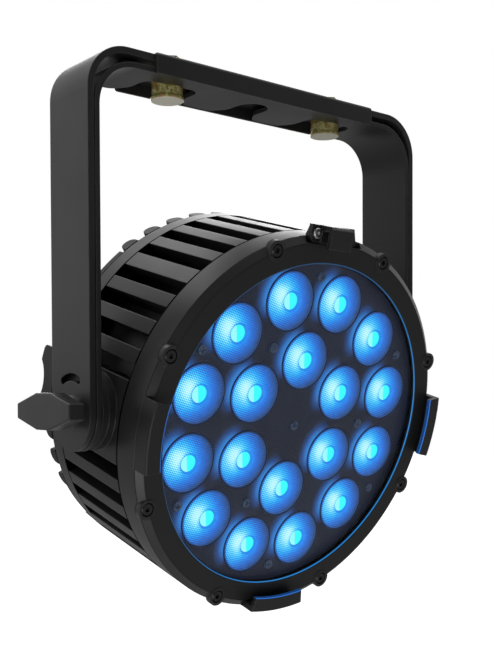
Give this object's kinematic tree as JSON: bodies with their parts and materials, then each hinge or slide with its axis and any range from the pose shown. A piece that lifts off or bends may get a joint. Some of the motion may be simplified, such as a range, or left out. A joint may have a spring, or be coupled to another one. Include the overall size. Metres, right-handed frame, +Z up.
{
  "type": "par can light",
  "caption": "Round stage par light with ringed lenses behind a glass front, finned body and rear panel, tilting in a double U-shaped yoke with clamping knobs.",
  "frame": {"origin": "centre of the clamp hole in the top face of the yoke's cap", "axes": "+Z up out of the clamp hole, +X to the right seen from the front, -Y the way the lamp faces"},
  "size_m": [0.324, 0.1881, 0.3613],
  "materials": {
    "yoke_paint": "satin powder coat",
    "housing_paint": "satin powder coat on cast aluminium",
    "bezel_paint": "fine matt powder coat on cast aluminium",
    "yellow_zinc": "yellow passivated zinc plate",
    "black_steel": "blackened steel",
    "bright_steel": "bright zinc plate",
    "brass_insert": "turned",
    "rubber_black": "matt",
    "knob_plastic": "moulded nylon",
    "connector_plastic": "moulded nylon",
    "button_rubber": "matt silicone",
    "plate_plastic": "fine textured",
    "clear_glass": "polished toughened glass",
    "window_glass": "smoked",
    "lens_blue": "moulded clear acrylic, lit blue",
    "led_blue": "lit emitter",
    "circuit_board": "solder mask",
    "bare_aluminium": "bare"
  },
  "bodies": {
    "yoke": {"yoke_bracket": "yoke_paint", "inner_yoke_bracket": "yoke_paint", "yoke_cap": "yoke_paint", "cap_bolts": "yellow_zinc", "cap_nuts": "yellow_zinc", "friction_washer_left": "rubber_black", "friction_washer_right": "rubber_black", "knob_washer_left": "bright_steel", "knob_washer_right": "bright_steel"},
    "head": {"pivot_stud_left": "bright_steel", "pivot_stud_right": "bright_steel", "heat_sink": "housing_paint", "front_ring": "housing_paint", "accessory_clips": "housing_paint", "side_guards": "housing_paint", "guard_screws": "black_steel", "rear_band": "housing_paint", "rear_cover": "housing_paint", "bezel": "bezel_paint", "bezel_screws": "black_steel", "ring_screws": "black_steel", "rear_screws": "black_steel", "eye_screws": "black_steel", "plate_screws": "black_steel", "latch_screw": "bright_steel", "glass_gasket": "rubber_black", "rear_gasket": "rubber_black", "front_glass": "clear_glass", "lens_plate": "plate_plastic", "outer_lenses": "lens_blue", "inner_lenses": "lens_blue", "led_board": "circuit_board", "led_emitters": "led_blue", "rear_posts": "bare_aluminium", "display_window": "window_glass", "display_module": "circuit_board", "vent_plug": "knob_plastic", "safety_eye": "bright_steel", "power_supply": "bare_aluminium", "driver_board": "circuit_board", "power_in_socket": "connector_plastic", "power_out_socket": "connector_plastic", "data_in_socket": "connector_plastic", "data_out_socket": "connector_plastic"},
    "latch_arm": {"latch": "housing_paint"},
    "knob_left": {"knob_left": "knob_plastic", "knob_insert_left": "brass_insert"},
    "knob_right": {"knob_right": "knob_plastic", "knob_insert_right": "brass_insert"},
    "menu_button_1": {"menu_button_1": "button_rubber"},
    "menu_button_2": {"menu_button_2": "button_rubber"},
    "menu_button_3": {"menu_button_3": "button_rubber"},
    "menu_button_4": {"menu_button_4": "button_rubber"},
    "power_in_cap": {"power_in_cap": "connector_plastic"},
    "power_out_cap": {"power_out_cap": "connector_plastic"},
    "data_in_cap": {"data_in_cap": "connector_plastic"},
    "data_out_cap": {"data_out_cap": "connector_plastic"}
  },
  "joints": [
    {"name": "head_tilt", "type": "hinge", "parent": "yoke", "child": "head", "pos_m": [0, 0, -0.2182], "axis": [1, 0, 0], "range_deg": [-135, 105]},
    {"name": "knob_left_turn", "type": "hinge", "parent": "yoke", "child": "knob_left", "pos_m": [-0.15, 0, -0.2182], "axis": [-1, 0, 0], "continuous": true},
    {"name": "knob_right_turn", "type": "hinge", "parent": "yoke", "child": "knob_right", "pos_m": [0.15, 0, -0.2182], "axis": [1, 0, 0], "continuous": true},
    {"name": "latch_swing", "type": "hinge", "parent": "head", "child": "latch_arm", "pos_m": [-0.017, -0.08164, -0.10975], "axis": [0, -0.9643, -0.2649], "range_deg": [0, 85]},
    {"name": "press_menu_button_1", "type": "slide", "parent": "head", "child": "menu_button_1", "axis": [0, -0.9643, -0.2649], "range_m": [0, 0.001], "stiffness_N_per_m": 400, "springref_m": -0.001},
    {"name": "press_menu_button_2", "type": "slide", "parent": "head", "child": "menu_button_2", "axis": [0, -0.9643, -0.2649], "range_m": [0, 0.001], "stiffness_N_per_m": 400, "springref_m": -0.001},
    {"name": "press_menu_button_3", "type": "slide", "parent": "head", "child": "menu_button_3", "axis": [0, -0.9643, -0.2649], "range_m": [0, 0.001], "stiffness_N_per_m": 400, "springref_m": -0.001},
    {"name": "press_menu_button_4", "type": "slide", "parent": "head", "child": "menu_button_4", "axis": [0, -0.9643, -0.2649], "range_m": [0, 0.001], "stiffness_N_per_m": 400, "springref_m": -0.001},
    {"name": "turn_power_in_cap", "type": "hinge", "parent": "head", "child": "power_in_cap", "pos_m": [-0.057, 0.07115, -0.23184], "axis": [0, -0.9643, -0.2649], "continuous": true},
    {"name": "turn_power_out_cap", "type": "hinge", "parent": "head", "child": "power_out_cap", "pos_m": [-0.02, 0.07433, -0.24341], "axis": [0, -0.9643, -0.2649], "continuous": true},
    {"name": "turn_data_in_cap", "type": "hinge", "parent": "head", "child": "data_in_cap", "pos_m": [0.02, 0.07433, -0.24341], "axis": [0, -0.9643, -0.2649], "continuous": true},
    {"name": "turn_data_out_cap", "type": "hinge", "parent": "head", "child": "data_out_cap", "pos_m": [0.057, 0.07115, -0.23184], "axis": [0, -0.9643, -0.2649], "continuous": true}
  ]
}
